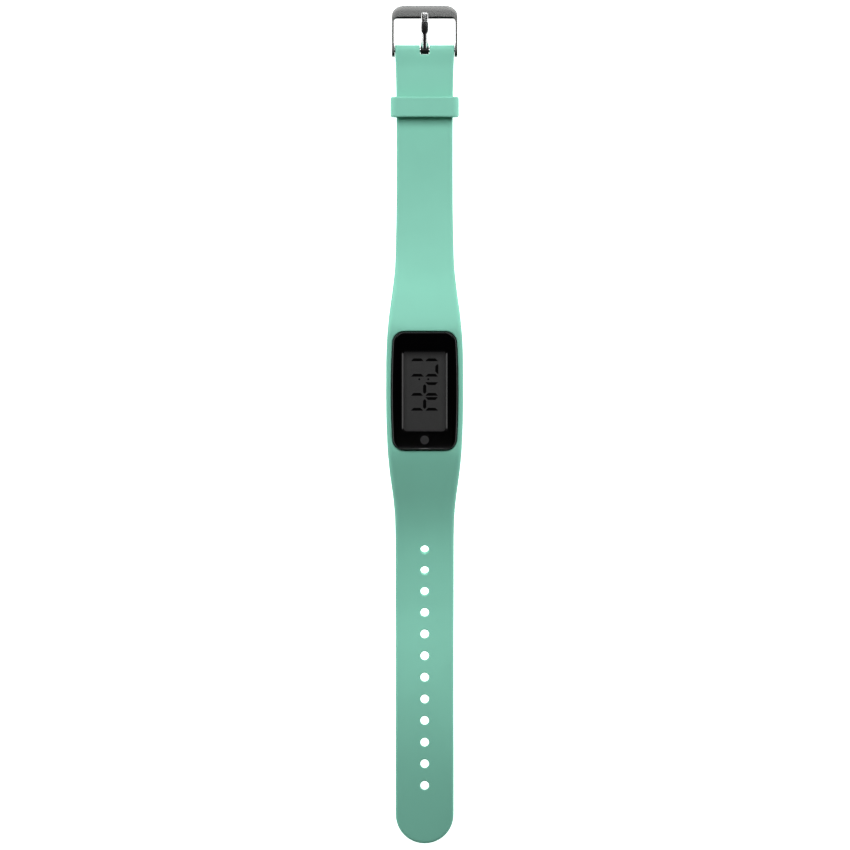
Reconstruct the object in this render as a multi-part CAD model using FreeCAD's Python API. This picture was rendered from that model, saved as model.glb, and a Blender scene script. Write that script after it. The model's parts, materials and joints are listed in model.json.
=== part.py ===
import FreeCAD, Part
import os, math

os.makedirs("parts", exist_ok=True)
V = FreeCAD.Vector

# ------------------------------------------------------------------
# Fitness tracker band lying open on a table, display side up.
# X across the strap, +Y from the module toward the buckle, +Z up.
# Everything is drawn with Y = 0 at the middle of the display module
# and moved by Y_SHIFT at the end, so the origin is the middle of the
# footprint on the floor plane Z = 0.  Millimetres.
# ------------------------------------------------------------------
Y_SHIFT = 10.15          # module centre to middle of the whole length
STRAP_T = 2.0            # silicone strap thickness
CLASP_LIFT = 1.5         # buckle half rides this high: the keeper runs under it
TIP_R = 8.70             # half width and radius of the round tip
TIP_Y = -127.05          # centre of the round tip
BAR_Y, BAR_Z = 102.36, 2.5   # buckle spring bar axis
END_R = 1.5              # moulded tube at the strap end
BAR_R = 0.75             # spring bar tube
BAR_FIT = 0.05           # radial running clearance on the bar
NOTCH_W = 2.9            # slot for the prong
NOTCH_Y = 101.0
HOLE_R = 1.3
HOLES = (-47.26, -53.58, -59.96, -66.35, -72.84, -79.37,
         -85.82, -92.36, -98.81, -105.34, -111.79, -118.31)

CAP_X, CAP_Y, CAP_R = 9.97, 17.88, 3.4   # module half sizes and corner
CAP_TOP = 20.2
RIM_TOP = 19.2
LEDGE_Z = 11.6           # shelf the module sits on
POCKET_FIT = 0.12
WIN_X, WIN_Y, WIN_R = 6.25, 12.0, 0.9    # display opening half sizes
BTN_Y, BTN_R = -14.6, 1.3
SCREW_X, SCREW_Y = 6.3, 13.9

KEEP_Y, KEEP_W = 85.2, 6.05
BUCK_TOP = 115.4         # outer edge of the buckle plate
BUCK_IN = 112.1          # inner edge of the buckle plate
BUCK_X = 9.85            # half width over the legs
LEG_T = 0.62
LEG_END = 100.2

# strap half width against Y, module centred
WIDTH = [(-127.05, 8.70), (-110.6, 8.71), (-98.6, 8.69), (-74.6, 8.69), (-62.6, 8.74),
         (-44.6, 8.74), (-41.6, 8.79), (-38.6, 8.87), (-37.1, 8.94), (-35.6, 9.06),
         (-34.1, 9.18), (-32.6, 9.34), (-31.1, 9.51), (-29.6, 9.71), (-28.1, 9.92),
         (-26.6, 10.13), (-25.1, 10.33), (-23.6, 10.51), (-22.1, 10.67), (-20.6, 10.82),
         (-19.1, 10.95), (-17.6, 11.07), (-14.6, 11.22), (-11.6, 11.34), (-8.6, 11.43),
         (-5.6, 11.49), (-2.0, 11.52), (2.0, 11.52), (6.0, 11.51), (9.4, 11.48),
         (12.4, 11.40), (15.4, 11.28), (16.9, 11.17), (18.4, 11.03), (19.9, 10.90),
         (21.4, 10.75), (22.9, 10.58), (24.4, 10.39), (25.9, 10.19), (27.4, 9.98),
         (28.9, 9.78), (30.4, 9.59), (31.9, 9.41), (33.4, 9.23), (34.9, 9.07),
         (36.4, 8.94), (39.4, 8.77), (42.4, 8.68), (45.4, 8.63), (51.4, 8.51),
         (57.4, 8.44), (63.4, 8.42), (69.4, 8.41), (81.4, 8.42), (90.4, 8.53),
         (96.4, 8.68), (102.36, 8.90)]

# height of the upper and lower faces against distance from the module centre
TAIL_TOP = [(0, 19.2), (18, 19.2), (20, 18.75), (23, 17.55), (28, 15.1), (32, 12.7), (36, 10.4),
            (40, 8.35), (44, 6.75), (47.3, 5.75), (53.6, 4.2), (60, 3.0), (66.4, 2.2), (72, 2.0)]
TAIL_BOT = [(0, 10.3), (18, 10.3), (23, 10.15), (28, 9.65), (32, 8.75), (36, 7.35), (40, 5.85),
            (44, 4.58), (47.3, 3.69), (53.6, 2.14), (60, 0.97), (66.4, 0.20), (72, 0.0)]
CLASP_TOP = [(0, 19.2), (18, 19.2), (20, 18.8), (23, 17.65), (28, 15.4), (32, 13.2), (36, 11.1),
             (40, 9.3), (44, 7.8), (50, 6.1), (56, 4.85), (62, 4.05), (68, 3.62), (74, 3.5)]
CLASP_BOT = [(0, 10.3), (18, 10.3), (23, 10.18), (28, 9.8), (32, 9.05), (36, 7.85), (40, 6.6),
             (44, 5.45), (50, 3.99), (56, 2.81), (62, 2.04), (68, 1.62), (74, 1.5)]

# flex stations: distance from the module, height of the pivot above the lower
# face, bend angles (degrees) the slit must allow: curl and back-bend
TAIL_FLEX = [(23.0, 1.2, 8, 3), (33.6, 1.1, 12, 4.5), (44.0, 1.0, 16, 6), (56.77, 1.0, 16, 6),
             (69.6, 1.0, 16, 6), (82.6, 1.0, 16, 6), (95.6, 1.0, 16, 6), (108.57, 1.0, 16, 6)]
CLASP_FLEX = [(23.0, 1.2, 10, 3), (33.6, 1.1, 15, 4.5), (44.0, 1.0, 22, 6), (55.5, 1.0, 22, 6),
              (67.0, 1.0, 22, 6), (78.6, 1.0, 22, 6)]
SLIT = 0.12              # half gap at the pivot


def interp(table, x):
    """Monotone cubic through a table of (x, y)."""
    xs = [p[0] for p in table]
    ys = [p[1] for p in table]
    if x <= xs[0]:
        return ys[0]
    if x >= xs[-1]:
        return ys[-1]
    n = len(xs)
    h = [xs[i + 1] - xs[i] for i in range(n - 1)]
    d = [(ys[i + 1] - ys[i]) / h[i] for i in range(n - 1)]
    m = [0.0] * n
    m[0], m[-1] = d[0], d[-1]
    for i in range(1, n - 1):
        if d[i - 1] * d[i] <= 0:
            m[i] = 0.0
        else:
            w1 = 2 * h[i] + h[i - 1]
            w2 = h[i] + 2 * h[i - 1]
            m[i] = (w1 + w2) / (w1 / d[i - 1] + w2 / d[i])
    i = 0
    while x > xs[i + 1]:
        i += 1
    t = (x - xs[i]) / h[i]
    return ((1 + 2 * t) * (1 - t) ** 2 * ys[i] + t * (1 - t) ** 2 * h[i] * m[i]
            + t * t * (3 - 2 * t) * ys[i + 1] + t * t * (t - 1) * h[i] * m[i + 1])


def spline(points):
    c = Part.BSplineCurve()
    c.interpolate(points)
    return c.toShape()


def top_z(y):
    return interp(CLASP_TOP if y > 0 else TAIL_TOP, abs(y))


def bot_z(y):
    return interp(CLASP_BOT if y > 0 else TAIL_BOT, abs(y))


def box(x0, x1, y0, y1, z0, z1):
    return Part.makeBox(x1 - x0, y1 - y0, z1 - z0, V(x0, y0, z0))


def cyl(r, z0, z1, x=0, y=0):
    return Part.makeCylinder(r, z1 - z0, V(x, y, z0), V(0, 0, 1))


def cyl_x(r, x0, x1, y, z):
    return Part.makeCylinder(r, x1 - x0, V(x0, y, z), V(1, 0, 0))


def rounded(hx, hy, r, z0, z1, cx=0, cy=0):
    """Upright block with rounded corners."""
    r = max(min(r, hx - 0.01, hy - 0.01), 0.05)
    c = math.sqrt(0.5)
    pts = []
    e = []
    def P(x, y):
        return V(cx + x, cy + y, z0)
    e.append(Part.makeLine(P(-hx + r, -hy), P(hx - r, -hy)))
    e.append(Part.Arc(P(hx - r, -hy), P(hx - r + r * c, -hy + r - r * c), P(hx, -hy + r)).toShape())
    e.append(Part.makeLine(P(hx, -hy + r), P(hx, hy - r)))
    e.append(Part.Arc(P(hx, hy - r), P(hx - r + r * c, hy - r + r * c), P(hx - r, hy)).toShape())
    e.append(Part.makeLine(P(hx - r, hy), P(-hx + r, hy)))
    e.append(Part.Arc(P(-hx + r, hy), P(-hx + r - r * c, hy - r + r * c), P(-hx, hy - r)).toShape())
    e.append(Part.makeLine(P(-hx, hy - r), P(-hx, -hy + r)))
    e.append(Part.Arc(P(-hx, -hy + r), P(-hx + r - r * c, -hy + r - r * c), P(-hx + r, -hy)).toShape())
    return Part.Face(Part.Wire(e)).extrude(V(0, 0, z1 - z0))


def bulged(hx, hy, r, z0, z1, belly=0.35):
    """Upright block with rounded corners whose long sides bow out by belly."""
    c = math.sqrt(0.5)
    hs = hx - belly
    def P(x, y):
        return V(x, y, z0)
    e = [Part.makeLine(P(-hs + r, -hy), P(hs - r, -hy)),
         Part.Arc(P(hs - r, -hy), P(hs - r + r * c, -hy + r - r * c), P(hs, -hy + r)).toShape(),
         Part.Arc(P(hs, -hy + r), P(hx, 0), P(hs, hy - r)).toShape(),
         Part.Arc(P(hs, hy - r), P(hs - r + r * c, hy - r + r * c), P(hs - r, hy)).toShape(),
         Part.makeLine(P(hs - r, hy), P(-hs + r, hy)),
         Part.Arc(P(-hs + r, hy), P(-hs + r - r * c, hy - r + r * c), P(-hs, hy - r)).toShape(),
         Part.Arc(P(-hs, hy - r), P(-hx, 0), P(-hs, -hy + r)).toShape(),
         Part.Arc(P(-hs, -hy + r), P(-hs + r - r * c, -hy + r - r * c), P(-hs + r, -hy)).toShape()]
    return Part.Face(Part.Wire(e)).extrude(V(0, 0, z1 - z0))


def side_prism(points, x0, x1):
    """Polygon in the Y-Z plane pushed along X."""
    w = Part.makePolygon([V(x0, y, z) for y, z in points] + [V(x0, points[0][0], points[0][1])])
    return Part.Face(w).extrude(V(x1 - x0, 0, 0))


def fuse(shapes):
    s = shapes[0]
    for t in shapes[1:]:
        s = s.fuse(t)
    return s.removeSplitter()


def try_fillet(shape, r, pick):
    edges = [e for e in shape.Edges if pick(e)]
    if not edges:
        return shape
    try:
        out = shape.makeFillet(r, edges)
        if out.isValid() and out.Volume > 0:
            return out
    except Exception:
        pass
    return shape


def save(name, shape):
    s = shape.copy()
    s.translate(V(0, Y_SHIFT, 0))
    s.exportStep("parts/%s.step" % name)
    print(name, round(s.Volume, 2), len(s.Solids), s.isValid())


# ------------------------------------------------------------------
# Silicone band: side profile times plan outline
# ------------------------------------------------------------------
def frange(a, b, step):
    n = max(1, int(round(abs(b - a) / step)))
    return [a + (b - a) * i / n for i in range(n + 1)]


X0 = -14.0
tail_end = TIP_Y - TIP_R
edges = []
# upper face, buckle end to tip
edges.append(Part.makeLine(V(X0, BAR_Y, top_z(BAR_Y)), V(X0, 74.0, top_z(74.0))))
edges.append(spline([V(X0, y, top_z(y)) for y in frange(74.0, 18.0, 2.0)]))
edges.append(Part.makeLine(V(X0, 18.0, RIM_TOP), V(X0, -18.0, RIM_TOP)))
edges.append(spline([V(X0, y, top_z(y)) for y in frange(-18.0, -72.0, 2.0)]))
edges.append(Part.makeLine(V(X0, -72.0, STRAP_T), V(X0, tail_end - 1, STRAP_T)))
edges.append(Part.makeLine(V(X0, tail_end - 1, STRAP_T), V(X0, tail_end - 1, 0)))
edges.append(Part.makeLine(V(X0, tail_end - 1, 0), V(X0, -72.0, 0)))
edges.append(spline([V(X0, y, bot_z(y)) for y in frange(-72.0, -18.0, 2.0)]))
edges.append(Part.makeLine(V(X0, -18.0, bot_z(18)), V(X0, 18.0, bot_z(18))))
edges.append(spline([V(X0, y, bot_z(y)) for y in frange(18.0, 74.0, 2.0)]))
edges.append(Part.makeLine(V(X0, 74.0, CLASP_LIFT), V(X0, BAR_Y, CLASP_LIFT)))
edges.append(Part.makeLine(V(X0, BAR_Y, CLASP_LIFT), V(X0, BAR_Y, top_z(BAR_Y))))
profile = Part.Face(Part.Wire(edges)).extrude(V(-2 * X0, 0, 0))

ZL = -1.0
right = [V(w, y, ZL) for y, w in WIDTH]
left = [V(-w, y, ZL) for y, w in reversed(WIDTH)]
plan_edges = [spline(right),
              Part.makeLine(V(WIDTH[-1][1], WIDTH[-1][0], ZL), V(-WIDTH[-1][1], WIDTH[-1][0], ZL)),
              spline(left),
              Part.Arc(V(-TIP_R, TIP_Y, ZL), V(0, TIP_Y - TIP_R, ZL), V(TIP_R, TIP_Y, ZL)).toShape()]
plan = Part.Face(Part.Wire(plan_edges)).extrude(V(0, 0, 24))
band = profile.common(plan)

# moulded tube at the buckle end, its bore and the prong notch
end_w = WIDTH[-1][1]
band = band.fuse(cyl_x(END_R, -end_w, end_w, BAR_Y, BAR_Z))
band = band.cut(cyl_x(BAR_R + BAR_FIT, -12, 12, BAR_Y, BAR_Z))
notch = fuse([box(-NOTCH_W / 2, NOTCH_W / 2, NOTCH_Y + 0.5, 106, 0, 6),
              box(-NOTCH_W / 2 + 0.5, NOTCH_W / 2 - 0.5, NOTCH_Y, 106, 0, 6),
              cyl(0.5, 0, 6, NOTCH_W / 2 - 0.5, NOTCH_Y + 0.5),
              cyl(0.5, 0, 6, -NOTCH_W / 2 + 0.5, NOTCH_Y + 0.5)])
band = band.cut(notch)

# pocket for the module and the opening in the back
band = band.cut(bulged(CAP_X + POCKET_FIT, CAP_Y + POCKET_FIT, CAP_R + POCKET_FIT, LEDGE_Z, 24))
band = band.cut(rounded(8.3, 15.75, 2.4, 8, 12))

# strap holes, each square to the strap where it sits
def mid(y):
    return 0.5 * (top_z(y) + bot_z(y))


def slope(y):
    return math.atan2(mid(y + 0.5) - mid(y - 0.5), 1.0)


for hy in HOLES:
    a = slope(hy)
    n = V(0, -math.sin(a), math.cos(a))
    c = V(0, hy, mid(hy))
    band = band.cut(Part.makeCylinder(HOLE_R, 8, c - n * 4, n))

# flex slits: narrow at the pivot, opening toward both faces
def slit(side, dist, up, curl, back):
    y = side * dist
    a = slope(y)
    ca, sa = math.cos(a), math.sin(a)
    # lower face point under the pivot, measured along the local normal
    zb = bot_z(y)
    py, pz = y, zb + up / ca
    tt = math.tan(math.radians(back / 2)) + 0.03
    tb = math.tan(math.radians(curl / 2)) + 0.03
    ht, hb = 12.0, 4.0
    loc = [(-SLIT, 0), (-(SLIT + ht * tt), ht), (SLIT + ht * tt, ht), (SLIT, 0),
           (SLIT + hb * tb, -hb), (-(SLIT + hb * tb), -hb)]
    pts = [(py + u * ca - v * sa, pz + u * sa + v * ca) for u, v in loc]
    return side_prism(pts, -14, 14), (py, pz)


pivots = {}
cutters = []
for k, f in enumerate(TAIL_FLEX):
    c, p = slit(-1, *f)
    cutters.append(c)
    pivots["tail_%d" % (k + 1)] = p
for k, f in enumerate(CLASP_FLEX):
    c, p = slit(1, *f)
    cutters.append(c)
    pivots["clasp_%d" % (k + 1)] = p
for c in cutters:
    band = band.cut(c)
sections = sorted(band.Solids, key=lambda s: s.BoundBox.Center.y)
names = (["tail_tip"] + ["tail_link_%d" % i for i in (5, 4, 3, 2, 1)] + ["tail_neck_b", "tail_neck_a"]
         + ["band_cradle"] + ["clasp_neck_a", "clasp_neck_b", "clasp_link_1", "clasp_link_2",
                              "clasp_link_3", "clasp_end"])
print("sections", len(sections), "wanted", len(names))
for n, s in zip(names, sections):
    save(n, s)
for k in sorted(pivots):
    print("pivot", k, round(pivots[k][0] + Y_SHIFT, 3), round(pivots[k][1], 3))

# ------------------------------------------------------------------
# Keeper loop
# ------------------------------------------------------------------
def loop_face(hx, z0, z1, r):
    y = KEEP_Y - KEEP_W / 2
    c = math.sqrt(0.5)
    def P(x, z):
        return V(x, y, z)
    e = [Part.makeLine(P(-hx + r, z0), P(hx - r, z0)),
         Part.Arc(P(hx - r, z0), P(hx - r + r * c, z0 + r - r * c), P(hx, z0 + r)).toShape(),
         Part.makeLine(P(hx, z0 + r), P(hx, z1 - r)),
         Part.Arc(P(hx, z1 - r), P(hx - r + r * c, z1 - r + r * c), P(hx - r, z1)).toShape(),
         Part.makeLine(P(hx - r, z1), P(-hx + r, z1)),
         Part.Arc(P(-hx + r, z1), P(-hx + r - r * c, z1 - r + r * c), P(-hx, z1 - r)).toShape(),
         Part.makeLine(P(-hx, z1 - r), P(-hx, z0 + r)),
         Part.Arc(P(-hx, z0 + r), P(-hx + r - r * c, z0 + r - r * c), P(-hx + r, z0)).toShape()]
    return Part.Face(Part.Wire(e))


keeper = loop_face(10.27, 0.0, 6.8, 2.0).extrude(V(0, KEEP_W, 0))
keeper = try_fillet(keeper, 0.45, lambda e: abs(e.BoundBox.YLength) < 1e-6)
keeper = keeper.cut(loop_face(8.95, 1.2, 5.7, 0.9).extrude(V(0, KEEP_W, 0)))
save("strap_keeper", keeper)

# ------------------------------------------------------------------
# Buckle: U frame with a flat plate, prong and spring bar
# ------------------------------------------------------------------
LEG_IN = BUCK_X - LEG_T
c45 = math.sqrt(0.5)
RO, RI = 2.7, 0.9
def BP(x, y):
    return V(x, y, 1.2)


e = [Part.makeLine(BP(-BUCK_X, LEG_END), BP(-BUCK_X, BUCK_TOP - RO)),
     Part.Arc(BP(-BUCK_X, BUCK_TOP - RO), BP(-BUCK_X + RO - RO * c45, BUCK_TOP - RO + RO * c45),
              BP(-BUCK_X + RO, BUCK_TOP)).toShape(),
     Part.makeLine(BP(-BUCK_X + RO, BUCK_TOP), BP(BUCK_X - RO, BUCK_TOP)),
     Part.Arc(BP(BUCK_X - RO, BUCK_TOP), BP(BUCK_X - RO + RO * c45, BUCK_TOP - RO + RO * c45),
              BP(BUCK_X, BUCK_TOP - RO)).toShape(),
     Part.makeLine(BP(BUCK_X, BUCK_TOP - RO), BP(BUCK_X, LEG_END)),
     Part.makeLine(BP(BUCK_X, LEG_END), BP(LEG_IN, LEG_END)),
     Part.makeLine(BP(LEG_IN, LEG_END), BP(LEG_IN, BUCK_IN - RI)),
     Part.Arc(BP(LEG_IN, BUCK_IN - RI), BP(LEG_IN - RI + RI * c45, BUCK_IN - RI + RI * c45),
              BP(LEG_IN - RI, BUCK_IN)).toShape(),
     Part.makeLine(BP(LEG_IN - RI, BUCK_IN), BP(-LEG_IN + RI, BUCK_IN)),
     Part.Arc(BP(-LEG_IN + RI, BUCK_IN), BP(-LEG_IN + RI - RI * c45, BUCK_IN - RI + RI * c45),
              BP(-LEG_IN, BUCK_IN - RI)).toShape(),
     Part.makeLine(BP(-LEG_IN, BUCK_IN - RI), BP(-LEG_IN, LEG_END)),
     Part.makeLine(BP(-LEG_IN, LEG_END), BP(-BUCK_X, LEG_END))]
frame = Part.Face(Part.Wire(e)).extrude(V(0, 0, 2.6))
# rounded leg ends
side = fuse([box(-12, 12, LEG_END + 1.3, 118, 1.2, 3.8), cyl_x(1.3, -12, 12, LEG_END + 1.3, 2.5)])
frame = frame.common(side)
# the plate is only 1.4 mm thick
frame = frame.cut(box(-LEG_IN + 0.4, LEG_IN - 0.4, BUCK_IN - 2, 118, 0, 2.4))
frame = frame.cut(cyl_x(0.42, -12, 12, BAR_Y, BAR_Z))
frame = try_fillet(frame, 0.25, lambda e: abs(e.BoundBox.ZMin - 3.8) < 1e-4 and abs(e.BoundBox.ZMax - 3.8) < 1e-4
                   and e.BoundBox.YMax > BUCK_TOP - 0.1 and e.BoundBox.YMin > BUCK_TOP - RO - 0.1)
save("buckle_frame", frame)

# prong: hub round the bar, arched shank, tip lying on the plate
hub = cyl_x(1.25, -1.25, 1.25, BAR_Y, BAR_Z)
PR_TOP = [(102.36, 3.75), (104.5, 4.2), (107.0, 4.72), (109.5, 5.02), (111.5, 5.05), (113.0, 4.75)]
PR_BOT = [(113.1, 3.87), (111.5, 3.86), (109.5, 3.80), (107.0, 3.50), (104.5, 2.75), (102.9, 1.45)]
pe = [spline([V(-1.25, y, z) for y, z in PR_TOP]),
      Part.Arc(V(-1.25, 113.0, 4.75), V(-1.25, 113.48, 4.28), V(-1.25, 113.1, 3.87)).toShape(),
      spline([V(-1.25, y, z) for y, z in PR_BOT]),
      Part.makeLine(V(-1.25, 102.9, 1.45), V(-1.25, 102.36, 2.5)),
      Part.makeLine(V(-1.25, 102.36, 2.5), V(-1.25, 102.36, 3.75))]
shank = Part.Face(Part.Wire(pe)).extrude(V(2.5, 0, 0))
prong = hub.fuse(shank)
prong = prong.cut(cyl_x(BAR_R + BAR_FIT, -3, 3, BAR_Y, BAR_Z)).removeSplitter()
save("buckle_prong", prong)

tube = cyl_x(BAR_R, -8.6, 8.6, BAR_Y, BAR_Z).cut(cyl_x(0.5, -9, 9, BAR_Y, BAR_Z))
save("spring_bar_tube", tube)
tips = []
for s in (-1, 1):
    stem = cyl_x(0.45, min(s * 6.2, s * 8.95), max(s * 6.2, s * 8.95), BAR_Y, BAR_Z)
    collar = cyl_x(0.68, min(s * 8.65, s * 9.0), max(s * 8.65, s * 9.0), BAR_Y, BAR_Z)
    pin = cyl_x(0.40, min(s * 8.9, s * 9.78), max(s * 8.9, s * 9.78), BAR_Y, BAR_Z)
    tips.append(fuse([stem, collar, pin]))
save("spring_bar_tips", Part.makeCompound(tips))
helix = Part.makeHelix(0.8, 12.2, 0.33)
wire_face = Part.Wire([Part.makeCircle(0.10, V(0.33, 0, 0), V(0, 1, 0))])
coil = Part.Wire(helix.Edges).makePipeShell([wire_face], True, True)
coil.rotate(V(0, 0, 0), V(0, 1, 0), 90)
coil.translate(V(-6.1, BAR_Y, BAR_Z))
if not coil.isValid() or coil.Volume <= 0:
    coil = cyl_x(0.43, -6.1, 6.1, BAR_Y, BAR_Z).cut(cyl_x(0.25, -7, 7, BAR_Y, BAR_Z))
save("spring_bar_spring", coil)

# ------------------------------------------------------------------
# Display module
# ------------------------------------------------------------------
# front shell: skirt, face, four screw posts, display and button openings
front = bulged(CAP_X, CAP_Y, CAP_R, 13.5, CAP_TOP)
front = try_fillet(front, 0.9, lambda e: abs(e.BoundBox.ZMin - CAP_TOP) < 1e-4 and abs(e.BoundBox.ZMax - CAP_TOP) < 1e-4)
front = front.cut(rounded(8.6, 16.85, 2.6, 13, 19.0))
posts = [cyl(1.3, 12.75, 19.2, sx * SCREW_X, sy * SCREW_Y) for sx in (-1, 1) for sy in (-1, 1)]
front = fuse([front] + posts)
for sx in (-1, 1):
    for sy in (-1, 1):
        front = front.cut(cyl(0.52, 12, 17.5, sx * SCREW_X, sy * SCREW_Y))
front = front.cut(rounded(9.1, 17.32, 3.05, 13.0, 13.9).cut(rounded(8.0, 16.0, 2.0, 12, 15)))
front = front.cut(rounded(WIN_X, WIN_Y, WIN_R, 18, 22))
# shallow bevel round the display opening
bev = Part.makeLoft([rounded(WIN_X + 0.01, WIN_Y + 0.01, WIN_R, 19.7, 19.8).slice(V(0, 0, 1), 19.7001)[0],
                     rounded(WIN_X + 0.55, WIN_Y + 0.55, WIN_R + 0.55, 20.3, 20.4).slice(V(0, 0, 1), 20.3001)[0]], True)
front = front.cut(bev)
front = front.cut(cyl(BTN_R + 0.06, 18, 22, 0, BTN_Y))
save("front_cover", front)

window = fuse([rounded(WIN_X - 0.05, WIN_Y - 0.05, WIN_R, 18.9, 19.75), rounded(7.1, 12.45, 1.2, 18.4, 18.97)])
save("display_window", window)

lcdf = rounded(7.6, 12.5, 0.6, 15.56, 18.3)
lcdf = lcdf.cut(rounded(7.25, 12.2, 0.4, 15, 17.95)).cut(rounded(6.4, 11.7, 0.4, 15, 19))
save("lcd_frame", lcdf)
glass = rounded(7.2, 12.15, 0.2, 16.5, 17.9)
save("lcd_glass", glass)

# clock digits 17:44, reading down the module.  Side strokes are long on the
# outside of the figure and cut at 45 degrees inside; the middle stroke of the
# fours is pointed at both ends.
def flat(pts):
    w = Part.makePolygon([V(x, y, 17.91) for x, y in pts + pts[:1]])
    return Part.Face(w).extrude(V(0, 0, 0.04))


ST = 0.80                # stroke width


def stroke(x0, x1, y, outer):
    """Side stroke along X; outer = -1 or +1 is the side (in Y) of its long edge."""
    h = ST / 2
    return flat([(x0, y + outer * h), (x1, y + outer * h), (x1 - ST, y - outer * h), (x0 + ST, y - outer * h)])


def middle(y0, y1):
    h = ST / 2 + 0.06
    return flat([(-h, y0 + h), (0, y0), (h, y0 + h), (h, y1 - h), (0, y1), (-h, y1 - h)])


L0, L1, M0, M1 = -4.07, -0.28, 0.23, 3.97
digits = [stroke(L0, L1, 9.3, -1), stroke(M0, M1, 9.3, -1),
          stroke(L0, L1, 4.7, -1), stroke(M0, M1, 4.7, -1),
          flat([(4.05, 4.95), (4.05, 7.95), (3.75, 7.95), (3.2, 7.4), (3.2, 5.8)]),
          stroke(M0, M1, 2.2, 1), middle(-0.85, 2.0), stroke(L0, L1 - 0.2, -1.0, -1), stroke(M0, M1, -1.0, -1),
          stroke(M0, M1, -2.25, 1), middle(-5.35, -2.45), stroke(L0, L1 - 0.2, -5.45, -1), stroke(M0, M1, -5.45, -1),
          Part.makeCylinder(0.27, 0.04, V(-1.6, 3.5, 17.91)), Part.makeCylinder(0.27, 0.04, V(1.07, 3.5, 17.91))]
save("lcd_digits", Part.makeCompound(digits))

zebra = [box(-6.8, 6.8, s * 11.5 - 0.55, s * 11.5 + 0.55, 15.53, 16.47) for s in (-1, 1)]
save("zebra_strips", Part.makeCompound(zebra))

board = rounded(8.35, 16.4, 2.0, 14.9, 15.5)
for sx in (-1, 1):
    for sy in (-1, 1):
        board = board.cut(cyl(1.42, 14, 16, sx * SCREW_X, sy * SCREW_Y))
save("circuit_board", board)

save("motion_sensor", rounded(1.5, 1.5, 0.15, 15.52, 16.35, -3.6, 5.0))
dome = Part.makeSphere(4.2, V(2.6, -2.5, 12.15)).common(cyl(2.6, 15.52, 17, 2.6, -2.5))
save("processor_blob", dome)
crystal = fuse([cyl_x(0.44, -6.2, -3.0, -3.0, 15.98), box(-6.4, -6.1, -3.3, -2.7, 15.55, 16.3)])
save("crystal", crystal)
caps = [box(x - 0.5, x + 0.5, y - 0.25, y + 0.25, 15.52, 16.0)
        for x, y in ((-4.8, 0.6), (-4.8, 1.6), (5.0, 4.2), (5.0, 5.4), (5.0, 6.6), (-2.4, -6.6))]
save("chip_capacitors", Part.makeCompound(caps))
switch = fuse([box(-1.6, 1.6, BTN_Y - 1.4, BTN_Y + 1.4, 15.52, 17.0), cyl(0.6, 16.9, 17.35, 0, BTN_Y)])
save("tact_switch", switch)
button = fuse([cyl(BTN_R, 18.6, 20.12, 0, BTN_Y), cyl(1.85, 18.3, 18.9, 0, BTN_Y), cyl(0.9, 17.7, 18.6, 0, BTN_Y)])
save("function_button", button)

# coin cell and its contacts
cell = fuse([cyl(6.25, 11.97, 13.6), cyl(5.3, 13.5, 13.95)])
save("coin_cell", cell)
neg = side_prism([(-1.5, 14.88), (-4.6, 14.88), (-4.6, 14.70), (-1.6, 14.70), (1.2, 13.98), (3.0, 13.98),
                  (3.0, 14.16), (1.3, 14.16)], -1.2, 1.2)
save("cell_contact_negative", neg)
pos = fuse([box(6.30, 6.50, -1.5, 1.5, 12.75, 14.88), box(6.30, 7.8, -1.5, 1.5, 14.70, 14.88)])
save("cell_contact_positive", pos)

# back shell with the battery well
back = fuse([bulged(CAP_X, CAP_Y, CAP_R, LEDGE_Z + 0.05, 13.48), rounded(8.15, 15.6, 2.2, 10.5, LEDGE_Z + 0.2)])
back = back.cut(rounded(8.6, 16.85, 2.6, 12.65, 14))
back = back.cut(cyl(7.4, 10, 11.93)).cut(cyl(6.45, 10, 13))
for sx in (-1, 1):
    for sy in (-1, 1):
        x, y = sx * SCREW_X, sy * SCREW_Y
        back = back.cut(cyl(0.95, 10, 11.3, x, y)).cut(cyl(0.6, 10, 13, x, y))
save("back_cover", back)

gasket = rounded(9.06, 17.28, 3.0, 13.5, 13.88).cut(rounded(8.63, 16.88, 2.62, 13, 14))
save("case_gasket", gasket)

door = fuse([cyl(7.3, 10.5, 11.2), cyl(6.6, 11.1, 11.9)])
door = door.cut(fuse([box(-3.6, 3.6, -0.8, 0.8, 10, 11.05), cyl(0.8, 10, 11.05, 3.6, 0), cyl(0.8, 10, 11.05, -3.6, 0)]))
save("battery_door", door)
seal = Part.makeTorus(6.98, 0.33, V(0, 0, 11.56), V(0, 0, 1))
save("door_seal", seal)

screws = []
for sx in (-1, 1):
    for sy in (-1, 1):
        x, y = sx * SCREW_X, sy * SCREW_Y
        s = fuse([cyl(0.85, 10.65, 11.28, x, y), cyl(0.48, 11.2, 16.5, x, y)])
        s = s.cut(box(x - 0.65, x + 0.65, y - 0.12, y + 0.12, 10.5, 10.95)).cut(box(x - 0.12, x + 0.12, y - 0.65, y + 0.65, 10.5, 10.95))
        screws.append(s)
save("case_screws", Part.makeCompound(screws))
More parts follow.
